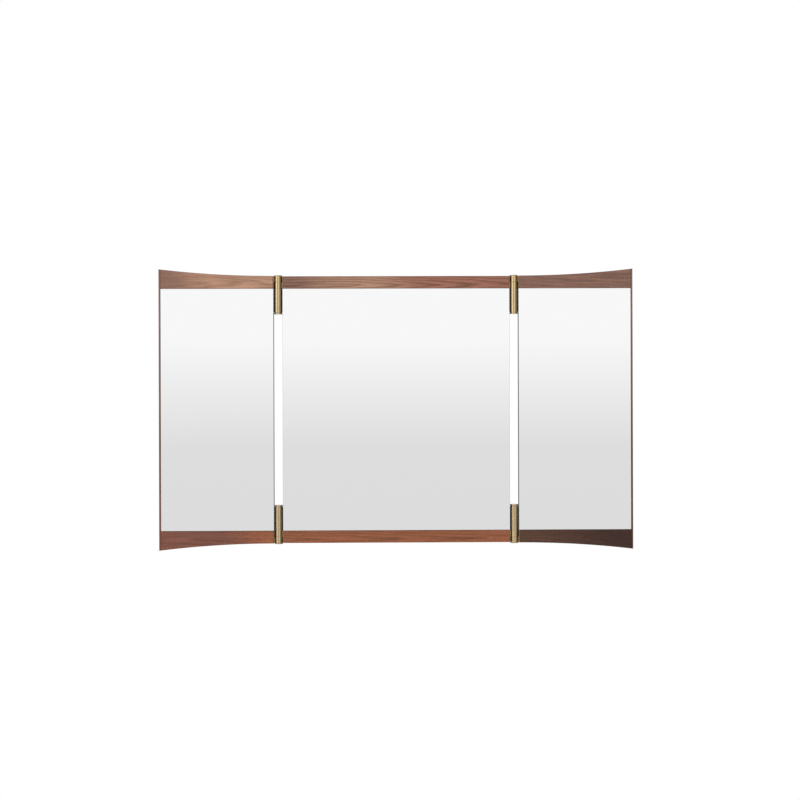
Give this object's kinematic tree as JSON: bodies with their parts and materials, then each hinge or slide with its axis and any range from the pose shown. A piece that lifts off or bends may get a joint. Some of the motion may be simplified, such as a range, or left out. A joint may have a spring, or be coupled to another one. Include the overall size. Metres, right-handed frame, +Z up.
{
  "type": "folding wall mirror",
  "caption": "Triptych wall mirror: a centre panel on a wall cleat, with narrower wings that turn forward on brass barrel hinges, and walnut rails that curve out to the ends.",
  "frame": {"origin": "centre of the wall cleat's back face, on the wall", "axes": "+X to the right as seen from in front, +Y back into the wall, +Z up; the mirrors face -Y"},
  "size_m": [1.184, 0.03, 0.7018],
  "materials": {
    "walnut": "oiled walnut, satin, grain along each rail",
    "mirror": "silvered float glass",
    "back_board": "dark stained fibreboard, matt",
    "brass": "brushed, lacquered",
    "steel": "zinc plated",
    "aluminium": "mill finish",
    "bronze": "phosphor bronze, satin",
    "rubber": "matt"
  },
  "bodies": {
    "center_panel": {"center_top_rail": "walnut", "center_bottom_rail": "walnut", "center_back_board": "back_board", "center_mirror_glass": "mirror", "center_left_edge_band": "walnut", "center_right_edge_band": "walnut", "wall_cleat": "aluminium", "mirror_cleat": "aluminium", "cleat_screw_left": "steel", "cleat_screw_middle": "steel", "cleat_screw_right": "steel", "bumper_left": "rubber", "bumper_right": "rubber", "hinge_top_left_center_leaf": "brass", "hinge_top_left_pin": "brass", "hinge_top_left_friction_washer": "bronze", "hinge_top_left_disc_springs": "steel", "hinge_top_left_lock_nut": "steel", "hinge_top_left_sleeve": "brass", "hinge_top_left_end_cap": "brass", "hinge_top_right_center_leaf": "brass", "hinge_top_right_pin": "brass", "hinge_top_right_friction_washer": "bronze", "hinge_top_right_disc_springs": "steel", "hinge_top_right_lock_nut": "steel", "hinge_top_right_sleeve": "brass", "hinge_top_right_end_cap": "brass", "hinge_bottom_left_center_leaf": "brass", "hinge_bottom_left_pin": "brass", "hinge_bottom_left_friction_washer": "bronze", "hinge_bottom_left_disc_springs": "steel", "hinge_bottom_left_lock_nut": "steel", "hinge_bottom_left_sleeve": "brass", "hinge_bottom_left_end_cap": "brass", "hinge_bottom_right_center_leaf": "brass", "hinge_bottom_right_pin": "brass", "hinge_bottom_right_friction_washer": "bronze", "hinge_bottom_right_disc_springs": "steel", "hinge_bottom_right_lock_nut": "steel", "hinge_bottom_right_sleeve": "brass", "hinge_bottom_right_end_cap": "brass"},
    "left_wing": {"left_wing_top_rail": "walnut", "left_wing_bottom_rail": "walnut", "left_wing_back_board": "back_board", "left_wing_mirror_glass": "mirror", "left_wing_outer_edge_strip": "walnut", "left_wing_inner_edge_band": "walnut", "hinge_top_left_wing_leaf": "brass", "hinge_bottom_left_wing_leaf": "brass"},
    "right_wing": {"right_wing_top_rail": "walnut", "right_wing_bottom_rail": "walnut", "right_wing_back_board": "back_board", "right_wing_mirror_glass": "mirror", "right_wing_outer_edge_strip": "walnut", "right_wing_inner_edge_band": "walnut", "hinge_top_right_wing_leaf": "brass", "hinge_bottom_right_wing_leaf": "brass"}
  },
  "joints": [
    {"name": "left_wing_hinge", "type": "hinge", "parent": "center_panel", "child": "left_wing", "pos_m": [-0.295, -0.019, -0.225], "axis": [0, 0, 1], "range_deg": [0, 90]},
    {"name": "right_wing_hinge", "type": "hinge", "parent": "center_panel", "child": "right_wing", "pos_m": [0.295, -0.019, -0.225], "axis": [0, 0, -1], "range_deg": [0, 90]}
  ]
}
